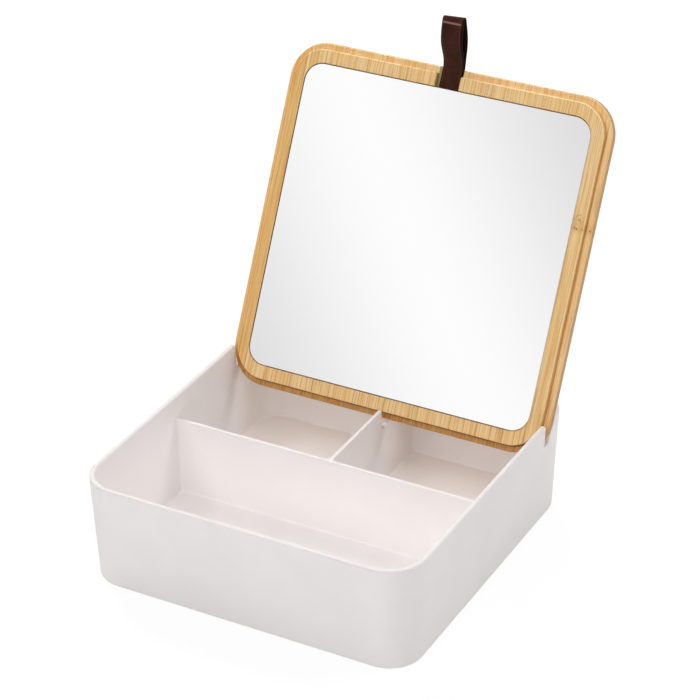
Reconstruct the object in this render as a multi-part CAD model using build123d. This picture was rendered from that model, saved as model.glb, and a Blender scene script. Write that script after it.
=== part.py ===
from build123d import *
from math import cos, radians, sin, sqrt, tan
import os

# Vanity box: a moulded tray with two dividers, and a bamboo lid with a mirror let into it.
# The lid is shown as it stands in use, on edge in the tray's slots and leaning back.
# Closed, it would lie on the rim with the mirror down and its step inside the walls.
# Frame: origin at the centre of the base, Z up, the front of the box looks along -Y.
# All sizes are in millimetres and degrees.

# Tray
tray_width = 200.0  # along X, at the rim
tray_depth = 200.0  # along Y, at the rim
tray_height = 62.8
corner_radius = 22.0  # outside corner at the rim
wall = 3.2
floor_thickness = 3.0
wall_draft = 2.5  # degrees, the walls narrow toward the base
base_round = 1.8  # outside, where the walls meet the underside
rim_round = 1.2

# Dividers, moulded with the tray
divider_height = 49.6
divider_thickness = 2.2  # at the top
divider_draft = 1.0  # degrees
divider_round = 0.7  # along the top edges
junction_round = 1.6  # where dividers and walls meet
floor_round = 1.2  # where they meet the floor
cross_divider_y = -1.1  # middle of the divider that runs left to right
rear_divider_x = 1.0  # middle of the divider that runs from it to the back

# Lid board
lid_fit = 0.65  # all round, between the lid's step and the inside of the rim
flange_thickness = 5.3
step_height = 3.4
arris = 0.6  # bevel that eases the board's edges

# Mirror and its recess
frame_sides = 7.0  # width of bamboo left beside the recess
frame_ends = 7.8  # and below and above it
mirror_play = 0.35  # between the glass and the wall of its recess
mirror_thickness = 2.0
mirror_corner = 11.0
mirror_chamfer = 0.3
mirror_below_step = 0.25

# Pull strap: one band folded double, both its tails held under the glass
strap_width = 12.6
strap_thickness = 1.2
strap_middle_x = -0.5
strap_tail = 14.0  # length held under the glass
strap_play = 0.2
tail_gap = 0.1  # between the two tails
notch_room = 1.7  # free width left of the strap, in the notch that lets it out
notch_round = 0.8

# The strap's loop, in the lid's own frame: its middle line runs straight from place to
# place, as (beyond the lid's top edge, out from between the tails), up the front leg, over
# the fold and down the back leg, with a bend of the given radius at each place.
front_exit = 0.5  # beyond the top edge, where the front leg leaves its tail's line
back_exit = 0.8
loop_places = [(4.9, 2.7), (17.6, 13.8), (31.8, 14.9), (19.2, 5.0)]
loop_radii = [12.0, 18.0, 2.0, 25.0]
exit_radius = 2.5

# Where the lid stands
lid_lean = 27.15  # degrees back from upright
lid_from_back = 39.4  # from its front bottom edge to the back of the rim
lid_sink = 19.5  # from the rim down to that edge
seat_gap = 0.25  # between the lid and what it stands on and leans on
slot_round = 1.0
lip_gap = 1.5  # between the lid and the divider's slot, in front and behind
slot_drop = 3.5  # the divider's slot lies this far below the lid, the side slots carry it

# What follows from the sizes above
rabbet = wall + lid_fit
step_width = tray_width - 2 * rabbet
step_depth = tray_depth - 2 * rabbet
recess_width = step_width - 2 * frame_sides
recess_height = step_depth - 2 * frame_ends
mirror_width = recess_width - 2 * mirror_play
mirror_height = recess_height - 2 * mirror_play
mirror_back = step_height - mirror_below_step - mirror_thickness
mirror_top = tray_depth / 2 + mirror_height / 2
groove_width = strap_width + 2 * strap_play
notch_width = groove_width + notch_room
notch_middle_x = strap_middle_x - notch_room / 2
strap_floor = mirror_back - 2 * strap_thickness - tail_gap
strap_middle = (mirror_back + strap_floor) / 2
strap_end = mirror_top - strap_tail
lid_foot_y = tray_depth / 2 - lid_from_back
lid_foot_z = tray_height - lid_sink
lean_cos = cos(radians(lid_lean))
lean_sin = sin(radians(lid_lean))
# In the lid's own frame X runs along the bottom edge, Y up the lid and Z out of its face.
lid_plane = Plane(
    origin=(0, lid_foot_y, lid_foot_z),
    x_dir=(1, 0, 0),
    z_dir=(0, -lean_cos, lean_sin),
)
beyond = tray_width + tray_depth  # long enough to pass through everything
above = 2 * tray_height  # well clear of the rim
same = 0.01  # two places closer than this are one


def wall_inset(height):
    """How far the outside of the tray lies inside its rim at a height."""
    return (tray_height - height) * tan(radians(wall_draft))


def drafted_block(foot, inset):
    """Block from a height up to the rim, narrowing downward, set in from the outside."""
    rim = RectangleRounded(
        tray_width - 2 * inset,
        tray_depth - 2 * inset,
        corner_radius - inset,
    )
    rim_plane = Plane.XY.offset(tray_height)
    block = extrude(rim_plane * rim, amount=foot - tray_height)
    walls = block.faces().sort_by(Axis.Z)[1:-1]
    return draft(walls, rim_plane, -wall_draft)


def divider_profile():
    """Section of a divider, from inside the floor to its top."""
    foot = floor_thickness / 2
    top_half = divider_thickness / 2
    foot_half = top_half + (divider_height - foot) * tan(radians(divider_draft))
    return Polygon(
        (-foot_half, foot),
        (foot_half, foot),
        (top_half, divider_height),
        (-top_half, divider_height),
        align=None,
    )


def dividers():
    """Both dividers, their ends and feet reaching into the middle of the walls and floor."""
    cross_plane = Plane(
        origin=(-beyond / 2, cross_divider_y, 0),
        x_dir=(0, 1, 0),
        z_dir=(1, 0, 0),
    )
    rear_plane = Plane(
        origin=(rear_divider_x, cross_divider_y, 0),
        x_dir=(-1, 0, 0),
        z_dir=(0, 1, 0),
    )
    cross = extrude(cross_plane * divider_profile(), amount=beyond)
    rear = extrude(rear_plane * divider_profile(), amount=beyond)
    return (cross + rear) & drafted_block(floor_thickness / 2, wall / 2)


def between(edge, low, high):
    """Whether an edge runs from one height to the other."""
    box = edge.bounding_box()
    return abs(box.min.Z - low) < same and abs(box.max.Z - high) < same


def is_junction(edge):
    """An edge that rises from the floor to a divider's top, where a divider ends."""
    return between(edge, floor_thickness, divider_height)


def is_floor_edge(edge):
    return between(edge, floor_thickness, floor_thickness)


def is_divider_top(edge):
    """A top edge of a divider, leaving out the short ones against the walls."""
    inset = wall + wall_inset(divider_height) + same
    inside_x = abs(edge.center().X) < tray_width / 2 - inset
    inside_y = abs(edge.center().Y) < tray_depth / 2 - inset
    return between(edge, divider_height, divider_height) and inside_x and inside_y


def lid_place(up, out):
    """Y and Z of a place on the standing lid."""
    y = lid_foot_y + up * lean_sin - out * lean_cos
    z = lid_foot_z + up * lean_cos + out * lean_sin
    return y, z


def lid_back_at(height):
    """Y of the standing lid's back face at a height."""
    up = (height - lid_foot_z + flange_thickness * lean_sin) / lean_cos
    return lid_place(up, -flange_thickness)[0]


def slot_cut(front, foot, gap_behind):
    """A cut along X, upright in front and leaning with the lid's back behind, open upward."""
    profile = Polygon(
        (front, foot),
        (lid_back_at(foot) + gap_behind / lean_cos, foot),
        (lid_back_at(above) + gap_behind / lean_cos, above),
        (front, above),
        align=None,
    )
    profile = fillet(profile.vertices().sort_by(Axis.Y)[:2], slot_round)
    return extrude(Plane.YZ * profile, amount=beyond / 2, both=True)


def side_slots():
    """The cuts in the two side walls that carry the lid and hold it at its lean."""
    inner_face = tray_width / 2 - wall - wall_inset(divider_height)
    past_corner = inner_face - tray_width / 2 + corner_radius
    corner_up = corner_radius - sqrt(corner_radius**2 - past_corner**2)
    front = lid_place(corner_up, 0)[0] - seat_gap
    foot = lid_place(corner_up, -flange_thickness)[1] - seat_gap
    return slot_cut(front, foot, seat_gap)


def divider_slot():
    """The cut in the rear divider that the lid's bottom edge hangs into."""
    foot = lid_place(0, -flange_thickness)[1] - slot_drop
    front = lid_place(rabbet, step_height)[0] - lip_gap
    return slot_cut(front, foot, lip_gap) & Box(tray_width / 2, beyond, beyond)


def tray():
    outside = drafted_block(0, 0)
    outside = fillet(outside.edges().group_by(Axis.Z)[0], base_round)
    shell = outside - drafted_block(floor_thickness, wall)
    shell = fillet(shell.edges().group_by(Axis.Z)[-1], rim_round)
    body = shell + dividers()
    body = fillet(body.edges().filter_by(is_junction), junction_round)
    body = fillet(body.edges().filter_by(is_floor_edge), floor_round)
    body = fillet(body.edges().filter_by(is_divider_top), divider_round)
    return body - side_slots() - divider_slot()


def slab(width, height, corner, low, high):
    """A rounded slab in the middle of the lid, from one depth to another."""
    plane = Plane.XY.offset(low)
    outline = Pos(0, tray_depth / 2) * RectangleRounded(width, height, corner)
    return extrude(plane * outline, amount=high - low)


def cut_up_the_lid(middle, width, low_end, high_end, depth):
    """A straight cut up the lid, from a depth out through its face."""
    plane = Plane.XY.offset(depth)
    outline = Pos(middle, (low_end + high_end) / 2) * Rectangle(width, high_end - low_end)
    return extrude(plane * outline, amount=beyond)


def is_notch_mouth(edge):
    """An edge of the notch where it opens through the outside of the step."""
    near_notch = abs(edge.center().X - notch_middle_x) < notch_width
    outside = abs(edge.center().Y - tray_depth + rabbet) < same
    return near_notch and outside


def lid_board():
    """Flange and step of one board, with the mirror's recess and the strap's way out."""
    flange = slab(tray_width, tray_depth, corner_radius, -flange_thickness, 0)
    faces = flange.edges().group_by(Axis.Z)
    flange = chamfer(faces[0] + faces[-1], arris)
    step = slab(step_width, step_depth, corner_radius - rabbet, 0, step_height)
    step -= cut_up_the_lid(notch_middle_x, notch_width, mirror_top, beyond, 0)
    mouth = step.edges().filter_by(Axis.Z).filter_by(is_notch_mouth)
    step = fillet(mouth, notch_round)
    step = chamfer(step.edges().group_by(Axis.Z)[-1], arris)
    corner = mirror_corner + mirror_play
    recess = slab(recess_width, recess_height, corner, mirror_back, beyond)
    groove = cut_up_the_lid(strap_middle_x, groove_width, strap_end, beyond, strap_floor)
    return flange + step - recess - groove


def mirror_glass():
    front = mirror_back + mirror_thickness
    glass = slab(mirror_width, mirror_height, mirror_corner, mirror_back, front)
    return chamfer(glass.edges().group_by(Axis.Z)[-1], mirror_chamfer)


def pull_strap():
    """The leather band: two tails, one on the other, and the loop that joins them."""
    tail = (tail_gap + strap_thickness) / 2
    path = FilletPolyline(
        (strap_end - tray_depth, tail),
        (front_exit, tail),
        *loop_places,
        (back_exit, -tail),
        (strap_end - tray_depth, -tail),
        radius=[exit_radius, *loop_radii, exit_radius],
    )
    profile = Pos(tray_depth, strap_middle) * trace(path, strap_thickness)
    band = extrude(Plane.YZ * profile, amount=strap_width / 2, both=True)
    return Pos(strap_middle_x, 0, 0) * band


def in_place(piece):
    """A piece made in the lid's own frame, moved to where the lid stands."""
    return Location(lid_plane) * piece


pieces = {
    "tray": tray(),
    "lid_board": in_place(lid_board()),
    "mirror_glass": in_place(mirror_glass()),
    "pull_strap": in_place(pull_strap()),
}
os.makedirs("parts", exist_ok=True)
for name, shape in pieces.items():
    export_step(shape, f"parts/{name}.step")
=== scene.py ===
from math import cos, radians, sin, tan

import bmesh
import bpy
from mathutils import Matrix, Vector


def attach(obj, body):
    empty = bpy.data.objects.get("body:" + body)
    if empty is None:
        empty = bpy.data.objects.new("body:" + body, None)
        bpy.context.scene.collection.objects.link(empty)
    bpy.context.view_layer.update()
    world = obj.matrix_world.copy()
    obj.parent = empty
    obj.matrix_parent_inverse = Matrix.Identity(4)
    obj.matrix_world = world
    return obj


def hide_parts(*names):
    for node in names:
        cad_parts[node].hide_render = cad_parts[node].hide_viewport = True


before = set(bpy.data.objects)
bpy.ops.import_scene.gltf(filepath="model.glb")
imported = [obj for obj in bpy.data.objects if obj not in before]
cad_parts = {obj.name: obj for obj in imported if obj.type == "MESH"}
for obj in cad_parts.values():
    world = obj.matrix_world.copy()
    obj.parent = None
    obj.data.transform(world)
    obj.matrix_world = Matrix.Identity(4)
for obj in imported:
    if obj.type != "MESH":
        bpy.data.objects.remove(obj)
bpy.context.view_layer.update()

# Vanity box: white moulded tray, bamboo lid with a mirror, dark leather pull.
# Metres and degrees, in the frame of the CAD model: Z up, the front looks along -Y.
MM = 0.001


def mm(*values):
    """Millimetres, as a list in metres."""
    return [value * MM for value in values]


# The standing lid. Its own frame is across, up from its foot, and out of its face.
LID_LEAN = 27.15
LID_FOOT = Vector((0.0, 60.6, 43.3)) * MM  # front bottom edge of its flange
LID_SIZE = 200.0 * MM
UP_THE_LID = Vector((0.0, sin(radians(LID_LEAN)), cos(radians(LID_LEAN))))
OUT_OF_LID = Vector((0.0, -cos(radians(LID_LEAN)), sin(radians(LID_LEAN))))

# The lid's step, its notch for the strap, and the mirror
STEP_HALF = 96.15 * MM
STEP_CORNER = 18.15 * MM
NOTCH_MIDDLE = -1.35 * MM
NOTCH_HALF = 7.35 * MM
MIRROR_HALF_WIDTH = 88.8 * MM
MIRROR_HALF_HEIGHT = 88.0 * MM
MIRROR_CORNER = 11.0 * MM

# The pull strap: one band folded double
STRAP_WIDTH = 12.6 * MM
STRAP_THICKNESS = 1.2 * MM
STRAP_EDGE = 0.35 * MM  # rounding of its cut edges
STRAP_MIDDLE_X = -0.5 * MM
STRAP_MIDDLE_OUT = -0.1 * MM
STRAP_TAIL_OUT = 0.65 * MM  # from between the tails to the middle of either
STRAP_TAIL_END = -26.0 * MM  # from the lid's top edge down to the ends of the tails
STRAP_BENDS = [  # (beyond the lid's top edge, out of its face, radius), all in mm
    (0.5, 0.65, 2.5),
    (4.9, 2.7, 12.0),
    (16.8, 15.4, 18.0),
    (30.1, 14.9, 2.0),
    (18.6, 3.6, 25.0),
    (0.8, -0.65, 2.5),
]
STRAP_TWIST = 9.0  # degrees, the fold is turned this much about the vertical
STRAP_TWIST_FROM = 6.0 * MM  # above the lid's edge, where the twist starts
STRAP_TWIST_TO = 28.0 * MM
BEND_STEPS = 10.0  # per radian of a bend
EDGE_STEPS = 3  # per quarter turn of a rounded edge

# Camera, as the photograph was taken
CAMERA_AZIMUTH = 28.64
CAMERA_ELEVATION = 30.01
CAMERA_ROLL = -0.76
CAMERA_DISTANCE = 1431.23 * MM
CAMERA_TARGET = Vector((14.06, 0.0, 122.12)) * MM
FOCAL_PIXELS = 2698.37  # focal length in pixels of a picture 700 wide
PICTURE_WIDTH = 700
SENSOR_WIDTH = 36.0

# Studio: even light from all round, and for what is glossy a bright band between two pale
# grey sides, which the mirror shows as the photograph's soft gradient
WHITE = (1.0, 1.0, 1.0, 1.0)
SKY_LEVEL = 0.13
BAND_ACROSS = (0.75, -0.071, 0.658)  # direction across the band
BAND_HALF_WIDTH = 0.09
BAND_EDGE_LEVEL = 0.73
FLOOR_HALF = 3.0
FLOOR_DROP = 0.2 * MM  # it lies this far below the tray
FLOOR_WHITE = 1.06  # strength at which it shows as plain white
FLOOR_PALE = (0.9, 0.9, 0.9, 1.0)
FLOOR_SHADE = (0.3, 0.9, 0.2, 0.0)  # share of its shade: 0.2 up to 0.3 m away, 0 beyond 0.9 m
LAMP_TARGET = Vector((0.0, 0.0, 0.1))
LAMPS = [  # (name, place, size, watts, shows in what is glossy)
    ("front", (0.0, -1.9, 1.5), 1.2, 11.6, False),
    ("front_right", (0.7, -1.1, 2.1), 1.2, 12.8, False),
    ("front_left", (-0.9, -1.2, 1.9), 0.6, 6.0, True),
    ("behind_left", (-1.3, 1.1, 1.9), 1.2, 33.0, False),
    ("behind_right", (1.3, 1.1, 1.9), 1.2, 20.0, False),
]


# ---------------------------------------------------------------- node helpers


class Shader:
    """A material's or world's node tree, with short calls for the nodes used here."""

    def __init__(self, tree):
        self.tree = tree
        self.tree.nodes.clear()

    def node(self, kind, settings=None, **inputs):
        made = self.tree.nodes.new(kind)
        for name, value in (settings or {}).items():
            setattr(made, name, value)
        for name, value in inputs.items():
            self.set(made.inputs[name.replace("_", " ")], value)
        return made

    def set(self, socket, value):
        if isinstance(value, bpy.types.NodeSocket):
            self.tree.links.new(value, socket)
        else:
            socket.default_value = value

    def math(self, operation, *values):
        made = self.node("ShaderNodeMath", {"operation": operation})
        for socket, value in zip(made.inputs, values):
            self.set(socket, value)
        return made.outputs[0]

    def vector_math(self, operation, *values):
        made = self.node("ShaderNodeVectorMath", {"operation": operation})
        for socket, value in zip(made.inputs, values):
            self.set(socket, value)
        return made.outputs

    def times(self, product, *others):
        for other in others:
            product = self.math("MULTIPLY", product, other)
        return product

    def off(self, value, middle):
        """How far the value lies from a middle, to either side."""
        return self.math("ABSOLUTE", self.math("SUBTRACT", value, middle))

    def length(self, first, second):
        """The length of a way with these two legs, square to each other."""
        squares = [self.math("POWER", leg, 2.0) for leg in (first, second)]
        return self.math("SQRT", self.math("ADD", *squares))

    def span(self, value, low, high, to_low=0.0, to_high=1.0):
        """The value, spread smoothly from one span to another and held at its ends."""
        made = self.node("ShaderNodeMapRange", {"interpolation_type": "SMOOTHSTEP"})
        for socket, number in zip(made.inputs, (value, low, high, to_low, to_high)):
            self.set(socket, number)
        return made.outputs[0]

    def fade(self, value, low, high):
        """1 where the value lies below a span, falling to 0 above it."""
        return self.span(value, low, high, 1.0, 0.0)

    def window(self, value, low, high, edge):
        """1 where the value lies between two limits, falling to 0 over the edge."""
        return self.times(self.span(value, low - edge, low), self.fade(value, high, high + edge))

    def mix(self, share, first, second, blend="MIX"):
        made = self.node("ShaderNodeMix", {"data_type": "RGBA", "blend_type": blend})
        for socket, value in zip((made.inputs[0], *made.inputs[6:8]), (share, first, second)):
            self.set(socket, value)
        return made.outputs[2]

    def cover(self, tone, share, tint, most=1.0):
        """The tone, covered with a tint by its share of the most that it covers."""
        if most < 1.0:
            share = self.times(share, most)
        return self.mix(share, tone, tint)

    def stain(self, tone, share, tint):
        """The tone, multiplied with a tint by its share."""
        return self.mix(share, tone, tint, "MULTIPLY")

    def noise(self, place, scale, detail, roughness=0.5):
        inputs = {"Vector": place, "Scale": scale, "Detail": detail, "Roughness": roughness}
        return self.node("ShaderNodeTexNoise", **inputs).outputs["Fac"]

    def drawn_out(self, place, across, along, detail, roughness=0.5):
        """Noise drawn out up the lid, with its scales across and along."""
        scaled = self.vector_math("MULTIPLY", place, (across, along, across))
        return self.noise(scaled["Vector"], 1.0, detail, roughness)

    def cells(self, along, scale, randomness=1.0, feature="F1"):
        """Cells one after the other, as Distance and Color."""
        settings = {"voronoi_dimensions": "1D", "feature": feature}
        inputs = {"W": along, "Scale": scale, "Randomness": randomness}
        return self.node("ShaderNodeTexVoronoi", settings, **inputs).outputs

    def bump(self, height, distance, strength, normal=None):
        made = self.node("ShaderNodeBump", Height=height, Distance=distance, Strength=strength)
        if normal is not None:
            self.set(made.inputs["Normal"], normal)
        return made.outputs[0]

    def here(self):
        """Place on the object, in the frame of the CAD model."""
        return self.node("ShaderNodeTexCoord").outputs["Object"]

    def on_the_lid(self):
        """Place in the lid's own frame: across, up from its foot, out of its face."""
        moved = self.vector_math("SUBTRACT", self.here(), LID_FOOT)["Vector"]
        turned = self.node("ShaderNodeVectorRotate", {"rotation_type": "X_AXIS"}, Vector=moved)
        self.set(turned.inputs["Angle"], radians(LID_LEAN - 90.0))
        return turned.outputs[0]

    def parts(self, place):
        return self.node("ShaderNodeSeparateXYZ", Vector=place).outputs

    def facing(self, way):
        """How far the surface faces a fixed direction, from -1 to 1."""
        normal = self.node("ShaderNodeTexCoord").outputs["Normal"]
        return self.vector_math("DOT_PRODUCT", normal, way)["Value"]

    def inside(self, across, up, half_width, half_height, corner):
        """Distance inside a rounded rectangle in the middle of the lid."""
        beside = self.math("SUBTRACT", self.math("ABSOLUTE", across), half_width - corner)
        beyond = self.math("SUBTRACT", self.off(up, LID_SIZE / 2), half_height - corner)
        outer = [self.math("MAXIMUM", leg, 0.0) for leg in (beside, beyond)]
        straight_part = self.math("MINIMUM", self.math("MAXIMUM", beside, beyond), 0.0)
        outward = self.math("ADD", self.length(*outer), straight_part)
        return self.math("SUBTRACT", corner, outward)


def colour(red, green, blue):
    """A colour given as it looks on screen, 0 to 255, for a node's socket."""
    linear = []
    for value in (red, green, blue):
        share = value / 255
        linear.append(share / 12.92 if share <= 0.04045 else ((share + 0.055) / 1.055) ** 2.4)
    return (*linear, 1.0)


def material(name):
    made = bpy.data.materials.new(name)
    made.use_nodes = True
    return made, Shader(made.node_tree)


def surface(shader, **inputs):
    """Ends a material: one Principled shader with these inputs."""
    principled = shader.node("ShaderNodeBsdfPrincipled", **inputs)
    shader.node("ShaderNodeOutputMaterial", Surface=principled.outputs[0])


# ---------------------------------------------------------------- plastic

NOISE_SPAN = (0.3, 0.7)  # most of a noise lies between these
PLASTIC_CLOUDS = (26.0, 4.0)  # noises, as (scale per metre, detail)
PLASTIC_WAVES = (38.0, 2.0)
PLASTIC_GRAIN = (3200.0, 2.0)
PLASTIC_SATIN = (420.0, 3.0)
FACING_UP = (0.3, 0.8)
SHADED_TOPS = mm(40.0, 45.0)  # what faces up above this height is the top of a wall, greyed with painted shade


def tray_plastic():
    """Warm white moulded plastic, satin, a fine grain from the mould, its tops a little greyer
    with painted shade.
    """
    made, s = material("tray_plastic")
    place = s.here()
    clouds = s.span(s.noise(place, *PLASTIC_CLOUDS), *NOISE_SPAN)
    tone = s.mix(clouds, colour(248, 243, 242), colour(251, 247, 246))
    # Painted shade: what faces up on the tops of walls and dividers is a little greyer
    upward = s.span(s.facing((0.0, 0.0, 1.0)), *FACING_UP)
    shaded_tops = s.times(upward, s.span(s.parts(place)[2], *SHADED_TOPS))
    tone = s.stain(tone, shaded_tops, colour(242, 241, 241))
    relief = s.bump(s.noise(place, *PLASTIC_GRAIN), 0.03 * MM, 0.35)
    relief = s.bump(s.noise(place, *PLASTIC_WAVES), 0.25 * MM, 0.12, relief)
    gloss = s.span(s.noise(place, *PLASTIC_SATIN), 0.2, 0.8, 0.36, 0.46)
    surface(s, Base_Color=tone, Roughness=gloss, Normal=relief, Specular_IOR_Level=0.35)
    return made


# ---------------------------------------------------------------- bamboo

# The strips of the board, about 12 mm wide
STRIPS = (82.0, 0.75)  # per metre, and how much their widths differ
GLUE = (0.004, 0.022)  # width of the glue between them, as a share of a strip
WANDER_BY = 0.9 * MM  # their edges aren't quite straight
SHARP = 0.2 * MM  # width of an edge between two of them that is given
LIGHT_GLUE = -88.6 * MM  # across, a pale glue line with golden wood left of it

# Noises drawn out up the lid, as (scale across, scale along, detail, roughness)
WANDER = (8.0, 6.0, 1.0)
STREAKS = (1400.0, 18.0, 4.0, 0.6)
BROAD_STREAKS = (270.0, 8.0, 3.0, 0.55)
DARK_FIBRES = (1350.0, 28.0, 2.0)
NODE_SWAY = (160.0, 0.0, 1.0)
BRISTLES = (1900.0, 700.0, 1.0)
FIBRE_SHIFT = 3.0  # metres up the lid, at most, between the fibres of two strips

# The nodes of the culm: one shows in the right border, the others lie behind the mirror
NODE_UP = 128.5 * MM
NODE_FROM = 86.5 * MM  # across, where the strip with that node starts
NODE_LEFT_END = -86.0 * MM  # no node shows left of this
OTHER_NODES_UP = mm(35.0, 165.0)
NODE_SWAY_BY = 3.0 * MM
NODE_BELOW = mm(-3.5, 0.0)  # the node's faint band
NODE_ABOVE = mm(0.0, 7.5)
PITS = 360.0  # per metre, in a row along the node
PIT_SIZE = (0.08, 0.24)  # share of the way from one pit to the next
PIT_ROW = mm(0.2, 0.6)
TUFT_ACROSS = 92.3 * MM  # a tuft of dark bristles just above that node
TUFT_UP = 133.9 * MM
TUFT_SIZE = mm(1.6, 3.6)

# Painted light and shade, as spans in the lid's own frame
LOW_END = mm(20.0, 40.0)  # up, where the lid's low end stops
HIGHLIGHT_ACROSS = mm(-30.0, 30.0)  # across, the bevels' painted highlight, from none at the left to its most at the right
SIDES_UP_TO_STEP = mm(-0.5, 0.5)  # out, the flange's sides below and the step's above
STEP_EDGE = mm(1.0, 2.0)  # out, the step's upper half
STEP_FOOT = mm(-0.3, 0.3, 0.9)  # inside the step's outline
OFF_STEP = mm(-0.4, 0.4)
ON_FLANGE = mm(-0.5, 0.4, 0.7)  # out, the flange's face
BOTTOM = mm(12.0, 24.0)  # up
BELOW_TOP = mm(180.0, 196.0)
NOTCH_EDGE = 0.3 * MM
NOTCH_UP = mm(100.0, 150.0)


def strips(s, place, across):
    """Three random numbers for each strip, and 1 on the glue between them."""
    along = s.math("ADD", across, s.times(s.drawn_out(place, *WANDER), WANDER_BY))
    numbers = s.parts(s.cells(along, *STRIPS)["Color"])
    edge = s.cells(along, *STRIPS, "DISTANCE_TO_EDGE")["Distance"]
    return numbers, s.fade(edge, *GLUE)


def fibres(s, across, up, out, number):
    """Streaks up the lid, broad ones and thin dark ones. They differ from strip to strip."""
    shifted = s.math("ADD", up, s.times(number, FIBRE_SHIFT))
    place = s.node("ShaderNodeCombineXYZ", X=across, Y=shifted, Z=out).outputs[0]
    streaks = s.drawn_out(place, *STREAKS)
    broad = s.drawn_out(place, *BROAD_STREAKS)
    dark = s.span(s.drawn_out(place, *DARK_FIBRES), 0.55, 0.68)
    return streaks, broad, dark


def culm_nodes(s, place, across, up, number):
    """The faint band of each strip's node, and its row of pits."""
    right = s.span(across, NODE_FROM - SHARP, NODE_FROM)
    others = s.span(number, 0.0, 1.0, *OTHER_NODES_UP)
    height = s.math("ADD", others, s.times(right, NODE_UP))
    height = s.math("SUBTRACT", height, s.times(right, others))
    sway = s.times(s.drawn_out(place, *NODE_SWAY), NODE_SWAY_BY)
    above = s.math("SUBTRACT", s.math("ADD", up, sway), s.math("ADD", height, NODE_SWAY_BY / 2))
    shown = s.span(across, NODE_LEFT_END - SHARP, NODE_LEFT_END)
    band = s.times(s.span(above, *NODE_BELOW), s.fade(above, *NODE_ABOVE), shown)
    pits = s.fade(s.cells(across, PITS)["Distance"], *PIT_SIZE)
    return band, s.times(pits, s.fade(s.math("ABSOLUTE", above), *PIT_ROW), shown)


def tuft(s, place, across, up):
    """The tuft of bristles above the node in the right border."""
    legs = s.math("SUBTRACT", across, TUFT_ACROSS), s.math("SUBTRACT", up, TUFT_UP)
    bristles = s.span(s.drawn_out(place, *BRISTLES), 0.5, 0.62)
    return s.times(s.span(s.length(*legs), *TUFT_SIZE, 0.55, 0.0), bristles)


def painted_light_and_sides(s, tone, across, up, out):
    """The wood's tone, its sides browner (side grain and painted shade), with painted shade and a
    painted highlight.
    """
    face = s.facing(OUT_OF_LID)
    # The sides browner, as side grain and as painted shade, most on the flange's sides below the
    # step
    side = s.fade(s.math("ABSOLUTE", face), 0.25, 0.5)
    side = s.times(side, s.span(out, *SIDES_UP_TO_STEP, 1.0, 0.35))
    tone = s.stain(tone, side, colour(208, 185, 150))
    # A painted highlight on the step's rounded front edge, stronger to the right and above the low
    # end
    bevel = s.times(s.window(face, 0.6, 0.8, 0.08), s.span(out, *STEP_EDGE))
    highlight_strength = s.times(s.span(across, *HIGHLIGHT_ACROSS, 0.0, 0.5), s.span(up, *LOW_END))
    tone = s.cover(tone, s.times(bevel, highlight_strength), colour(254, 230, 182))

    # Painted shade on the flange along the step's foot, and a painted shadow on all of it along
    # the bottom
    in_step = s.inside(across, up, STEP_HALF, STEP_HALF, STEP_CORNER)
    on_flange = s.window(out, *ON_FLANGE)
    bottom = s.fade(up, *BOTTOM)
    foot_shade = s.times(s.window(in_step, *STEP_FOOT), on_flange)
    tone = s.stain(tone, s.times(foot_shade, s.fade(up, *BELOW_TOP)), colour(232, 214, 186))
    tone = s.stain(tone, s.times(foot_shade, bottom), colour(176, 148, 112))
    low_border_shade = s.times(s.fade(in_step, *OFF_STEP), on_flange, bottom)
    tone = s.stain(tone, low_border_shade, colour(204, 181, 143))

    # Painted shadow on the floor of the strap's notch
    notch_shade = s.fade(s.off(across, NOTCH_MIDDLE), NOTCH_HALF, NOTCH_HALF + NOTCH_EDGE)
    notch_shade = s.times(notch_shade, s.span(up, *NOTCH_UP), on_flange)
    return s.stain(tone, notch_shade, colour(172, 174, 164))


def bamboo():
    """Edge-glued bamboo strips, their fibres up the lid, under a clear satin lacquer."""
    made, s = material("bamboo")
    place = s.on_the_lid()
    across, up, out = s.parts(place)
    numbers, glue = strips(s, place, across)
    streaks, broad, dark = fibres(s, across, up, out, numbers[1])
    node_band, pits = culm_nodes(s, place, across, up, numbers[0])

    tone = s.mix(numbers[2], colour(242, 195, 126), colour(250, 213, 156))
    tone = s.mix(s.span(broad, 0.32, 0.66), colour(238, 184, 108), tone)
    tone = s.cover(tone, s.span(streaks, 0.42, 0.62), colour(254, 226, 172), most=0.7)
    dark = s.times(dark, s.span(up, *LOW_END, 0.65, 0.35))
    tone = s.cover(tone, dark, colour(180, 120, 52))
    tone = s.cover(tone, glue, colour(196, 138, 66), most=0.5)
    tone = s.cover(tone, node_band, colour(204, 142, 76), most=0.35)
    tone = s.cover(tone, pits, colour(112, 70, 34), most=0.85)
    tone = s.cover(tone, tuft(s, place, across, up), colour(150, 98, 46))
    light_glue = (LIGHT_GLUE - SHARP, LIGHT_GLUE + SHARP)
    tone = s.stain(tone, s.fade(across, *light_glue), colour(249, 238, 214))
    light_line = s.window(across, *light_glue, 0.3 * MM)
    tone = s.cover(tone, light_line, colour(255, 234, 190), most=0.7)
    tone = painted_light_and_sides(s, tone, across, up, out)

    relief = s.bump(s.math("SUBTRACT", streaks, s.times(pits, 1.5)), 0.08 * MM, 0.5)
    gloss = s.span(streaks, *NOISE_SPAN, 0.5, 0.38)
    surface(s, Base_Color=tone, Roughness=gloss, Normal=relief, IOR=1.48)
    return made


# ---------------------------------------------------------------- mirror

REFLECTED = (0.975, 0.975, 0.975, 1.0)
SMEARS = (60.0, 18.0, 3.0)  # noise drawn out up the lid
SILVERED = mm(0.1, 0.4)  # inside the glass's outline, beyond its ground edge
LEFT_SIDE = mm(-88.0, -86.0)  # where painted shade darkens the ground edge: across,
LEFT_SIDE_UP = mm(20.0, 35.0)  # and up
TOP_SIDE_UP = mm(184.0, 187.0)
BOTTOM_SIDE_UP = mm(12.5, 14.5)
BOTTOM_SIDE = mm(-70.0, 70.0, 10.0)


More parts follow.
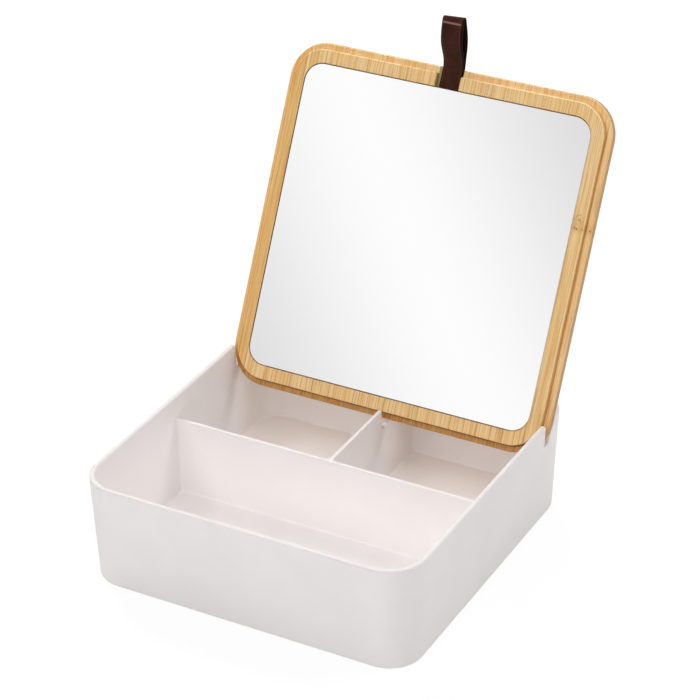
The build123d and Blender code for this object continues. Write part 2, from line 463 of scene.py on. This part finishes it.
def mirror():
    """Silvered glass: a clean reflection, its pale ground edge darkened with painted shade on the
    left, top and bottom.
    """
    made, s = material("mirror")
    place = s.on_the_lid()
    across, up, _ = s.parts(place)
    # Painted shade on the glass's ground edge at the left, top and bottom
    left = s.times(s.fade(across, *LEFT_SIDE), s.span(up, *LEFT_SIDE_UP))
    top = s.span(up, *TOP_SIDE_UP)
    bottom = s.times(s.span(up, *BOTTOM_SIDE_UP, 0.6, 0.0), s.window(across, *BOTTOM_SIDE))
    painted_shade_sides = s.math("MAXIMUM", s.math("MAXIMUM", left, top), bottom)
    ground_edge_and_shade = s.mix(painted_shade_sides, colour(242, 240, 236), colour(112, 98, 78))
    inside = s.inside(across, up, MIRROR_HALF_WIDTH, MIRROR_HALF_HEIGHT, MIRROR_CORNER)
    silvered = s.span(inside, *SILVERED)
    tone = s.mix(silvered, ground_edge_and_shade, REFLECTED)
    polish = s.span(s.drawn_out(place, *SMEARS), 0.3, 0.8, 0.015, 0.035)
    surface(s, Base_Color=tone, Metallic=silvered, Roughness=polish)
    return made


# ---------------------------------------------------------------- leather

LEATHER_PEBBLES = 1700.0  # per metre
LEATHER_PORES = (900.0, 3.0)
LEATHER_CLOUDS = (140.0, 3.0)
PRESSED_LINE = mm(5.0, 5.2, 0.4)  # from the strap's middle line
CUT_EDGE = mm(5.7, 6.0)
CUT_EDGE_DULL = mm(5.5, 5.9)
FOLD_HIGHLIGHT = mm(23.7, 24.0, 0.7)  # beyond the lid's top edge
FOLD_HIGHLIGHT_OUT = mm(12.8, 13.8)
FOLD_HIGHLIGHT_BESIDE = mm(4.5, 5.8)
LOOP_LEAN = 0.49  # out of the lid for each length beyond it, midway between the loop's legs
LOOP_START = 0.2 * MM
LOOP_SHADE = mm(0.2, 0.8)


def strap_leather():
    """Dark brown leather: fine pebbled grain, dark cut edges, painted shade inside the loop, a
    painted highlight on the fold.
    """
    made, s = material("strap_leather")
    place = s.on_the_lid()
    across, up, out = s.parts(place)
    cells = s.node("ShaderNodeTexVoronoi", {"feature": "SMOOTH_F1"}, Vector=place)
    s.set(cells.inputs["Scale"], LEATHER_PEBBLES)
    pebbles = cells.outputs["Distance"]
    pores = s.noise(place, *LEATHER_PORES)
    clouds = s.span(s.noise(place, *LEATHER_CLOUDS), *NOISE_SPAN)
    tone = s.mix(clouds, colour(52, 23, 12), colour(70, 34, 22))
    tone = s.cover(tone, pebbles, colour(28, 11, 6), most=0.35)

    # A pressed line beside each edge, the cut edges themselves, a painted highlight across the
    # front of the fold
    beside = s.off(across, STRAP_MIDDLE_X)
    tone = s.cover(tone, s.window(beside, *PRESSED_LINE), colour(104, 64, 48), most=0.3)
    tone = s.cover(tone, s.span(beside, *CUT_EDGE), colour(24, 12, 8), most=0.7)
    beyond = s.math("SUBTRACT", up, LID_SIZE)
    in_front = s.times(s.span(out, *FOLD_HIGHLIGHT_OUT), s.fade(beside, *FOLD_HIGHLIGHT_BESIDE))
    fold_highlight = s.times(s.window(beyond, *FOLD_HIGHLIGHT), in_front)
    tone = s.cover(tone, fold_highlight, colour(176, 134, 122), most=0.6)

    # The side that faces into the loop, which is the rough one, darkened with painted shade
    between = s.math("SUBTRACT", s.times(beyond, LOOP_LEAN), LOOP_START)
    inward = s.times(s.math("SUBTRACT", between, out), s.facing(OUT_OF_LID))
    tone = s.cover(tone, s.span(inward, *LOOP_SHADE, 0.0, 0.8), colour(16, 10, 7))

    relief = s.bump(s.math("ADD", pebbles, s.times(pores, 0.5)), 0.12 * MM, 0.45)
    gloss = s.span(pores, *NOISE_SPAN, 0.42, 0.55)
    shine = s.span(beside, *CUT_EDGE_DULL, 0.14, 0.02)
    surface(s, Base_Color=tone, Roughness=gloss, Normal=relief, IOR=1.45, Specular_IOR_Level=shine)
    return made


# ---------------------------------------------------------------- the leather strap


def add(obj):
    bpy.context.scene.collection.objects.link(obj)


def bend(before, corner, after, radius):
    """Points of the arc that rounds a corner between two straight runs."""
    inward = (before - corner).normalized()
    outward = (after - corner).normalized()
    half = inward.angle(outward) / 2
    reach = radius / tan(half)
    centre = corner + (inward + outward).normalized() * radius / sin(half)
    start = corner + inward * reach - centre
    end = corner + outward * reach - centre
    sweep = start.angle(end)
    side = (end - start * cos(sweep)).normalized() * radius
    count = max(2, round(BEND_STEPS * sweep))
    turns = [sweep * step / count for step in range(count + 1)]
    return [centre + start * cos(turn) + side * sin(turn) for turn in turns]


def strap_line():
    """The strap's middle line, as (beyond the lid's edge, out of its face), tail to tail."""
    corners = [Vector((up, out)) * MM for up, out, _ in STRAP_BENDS]
    corners.insert(0, Vector((STRAP_TAIL_END, STRAP_TAIL_OUT)))
    corners.append(Vector((STRAP_TAIL_END, -STRAP_TAIL_OUT)))
    line = [corners[0], corners[0].lerp(corners[1], 0.5)]
    for before, corner, after, place in zip(corners, corners[1:], corners[2:], STRAP_BENDS):
        line += bend(before, corner, after, place[2] * MM)
    line += [corners[-1].lerp(corners[-2], 0.5), corners[-1]]
    return line


def strap_section():
    """Outline of the band with its rounded edges: (across, out of its surface)."""
    flat = STRAP_WIDTH / 2 - STRAP_EDGE
    deep = STRAP_THICKNESS / 2 - STRAP_EDGE
    corners = [(flat, deep, 0.0), (-flat, deep, 90.0), (-flat, -deep, 180.0), (flat, -deep, 270.0)]
    ring = []
    for x, z, turn in corners:
        for step in range(EDGE_STEPS + 1):
            angle = radians(turn + 90.0 * step / EDGE_STEPS)
            ring.append((x + STRAP_EDGE * cos(angle), z + STRAP_EDGE * sin(angle)))
    return ring


def twisted(point, root):
    """A point of the strap, turned about the vertical the more the higher it is."""
    rise = (point.z - root.z - STRAP_TWIST_FROM) / (STRAP_TWIST_TO - STRAP_TWIST_FROM)
    share = min(1.0, max(0.0, rise))
    share = share * share * (3.0 - 2.0 * share)
    turn = Matrix.Rotation(radians(STRAP_TWIST) * share, 4, "Z")
    axis = Vector((STRAP_MIDDLE_X, root.y, 0.0))
    return turn @ (point - axis) + axis


def pull_strap():
    """The leather band, closed at its tails' ends, in place of the CAD model's plain one."""
    line = strap_line()
    section = strap_section()
    edge = LID_FOOT + UP_THE_LID * LID_SIZE + OUT_OF_LID * STRAP_MIDDLE_OUT
    mesh = bmesh.new()
    rings = []
    for before, place, after in zip([line[0], *line], line, [*line[1:], line[-1]]):
        ahead = (after - before).normalized()
        outward = UP_THE_LID * -ahead.y + OUT_OF_LID * ahead.x
        middle = edge + UP_THE_LID * place.x + OUT_OF_LID * place.y
        middle.x = STRAP_MIDDLE_X
        points = [middle + Vector((x, 0.0, 0.0)) + outward * z for x, z in section]
        rings.append([mesh.verts.new(twisted(point, edge)) for point in points])
    for ring, following in zip(rings, rings[1:]):
        for i in range(len(section)):
            after = (i + 1) % len(section)
            mesh.faces.new((ring[i], ring[after], following[after], following[i]))
    mesh.faces.new(rings[0][::-1])
    mesh.faces.new(rings[-1])
    bmesh.ops.recalc_face_normals(mesh, faces=mesh.faces)
    data = bpy.data.meshes.new("leather_strap")
    mesh.to_mesh(data)
    mesh.free()
    for face in data.polygons:
        face.use_smooth = True
    data.materials.append(strap_leather())
    made = bpy.data.objects.new("leather_strap", data)
    add(made)
    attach(made, "lid_body")
    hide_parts("pull_strap")


def dress(node, made):
    """Gives a CAD node this material all over."""
    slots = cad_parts[node].data.materials
    slots.clear()
    slots.append(made)


# ---------------------------------------------------------------- studio


def mix_shaders(shader, share, first, second):
    mixed = shader.node("ShaderNodeMixShader", Fac=share)
    shader.set(mixed.inputs[1], first)
    shader.set(mixed.inputs[2], second)
    return mixed.outputs[0]


def white_for_view(shader, plain, white):
    """Mixes a shader with plain white for what the camera, metal and glass see."""
    path = shader.node("ShaderNodeLightPath").outputs
    seen = shader.math("MAXIMUM", path["Is Camera Ray"], path["Is Glossy Ray"])
    seen = shader.math("MAXIMUM", seen, path["Is Transmission Ray"])
    return mix_shaders(shader, seen, plain, white)


def floor():
    """A floor that takes the light, and shows as white with a faint shade round the box."""
    made, s = material("floor")
    pale = s.node("ShaderNodeBsdfDiffuse", Color=FLOOR_PALE).outputs[0]
    white = s.node("ShaderNodeEmission", Color=WHITE, Strength=FLOOR_WHITE).outputs[0]
    shade = s.span(s.vector_math("LENGTH", s.here())["Value"], *FLOOR_SHADE)
    seen = mix_shaders(s, shade, white, pale)
    s.node("ShaderNodeOutputMaterial", Surface=white_for_view(s, pale, seen))
    sides = [(-1, -1), (1, -1), (1, 1), (-1, 1)]
    data = bpy.data.meshes.new("floor")
    corners = [(x * FLOOR_HALF, y * FLOOR_HALF, 0.0) for x, y in sides]
    data.from_pydata(corners, [], [(0, 1, 2, 3)])
    data.materials.append(made)
    obj = bpy.data.objects.new("floor", data)
    obj.location.z = -FLOOR_DROP
    add(obj)


def sky():
    """Even light, and for what is glossy the bright band between its pale grey sides."""
    world = bpy.data.worlds.new("studio")
    bpy.context.scene.world = world
    world.use_nodes = True
    s = Shader(world.node_tree)
    soft = s.node("ShaderNodeBackground", Color=WHITE, Strength=SKY_LEVEL).outputs[0]
    way = s.node("ShaderNodeTexCoord").outputs["Generated"]
    off_band = s.math("ABSOLUTE", s.vector_math("DOT_PRODUCT", way, BAND_ACROSS)["Value"])
    dimmer = s.span(off_band, 0.0, BAND_HALF_WIDTH, 0.0, 1.0 - BAND_EDGE_LEVEL)
    glossy = s.node("ShaderNodeLightPath").outputs["Is Glossy Ray"]
    level = s.math("SUBTRACT", 1.0, s.times(glossy, dimmer))
    white = s.node("ShaderNodeBackground", Color=WHITE, Strength=level).outputs[0]
    s.node("ShaderNodeOutputWorld", Surface=white_for_view(s, soft, white))


def lamp(name, place, size, power, glints):
    """A square soft box. Only one that glints shows in what is glossy."""
    data = bpy.data.lights.new(name, "AREA")
    data.shape = "SQUARE"
    data.size = size
    data.energy = power
    obj = bpy.data.objects.new(name, data)
    obj.location = place
    obj.rotation_mode = "QUATERNION"
    obj.rotation_quaternion = (LAMP_TARGET - Vector(place)).to_track_quat("-Z", "Y")
    obj.visible_glossy = glints
    add(obj)


def camera():
    azimuth, elevation = radians(CAMERA_AZIMUTH), radians(CAMERA_ELEVATION)
    reach = cos(elevation)
    back = Vector((sin(azimuth) * reach, -cos(azimuth) * reach, sin(elevation)))
    level = Vector((cos(azimuth), sin(azimuth), 0.0))
    upward = back.cross(level)
    roll = radians(CAMERA_ROLL)
    right = level * cos(roll) + upward * sin(roll)
    up = upward * cos(roll) - level * sin(roll)
    data = bpy.data.cameras.new("camera")
    data.sensor_width = SENSOR_WIDTH
    data.lens = FOCAL_PIXELS / PICTURE_WIDTH * SENSOR_WIDTH
    obj = bpy.data.objects.new("camera", data)
    axes = Matrix((right, up, back)).transposed().to_4x4()
    obj.matrix_world = Matrix.Translation(CAMERA_TARGET + back * CAMERA_DISTANCE) @ axes
    add(obj)
    bpy.context.scene.camera = obj


# ---------------------------------------------------------------- the scene

dress("tray", tray_plastic())
dress("lid_board", bamboo())
dress("mirror_glass", mirror())
pull_strap()
floor()
sky()
for settings in LAMPS:
    lamp(*settings)
camera()
bpy.context.scene.view_settings.view_transform = "Standard"
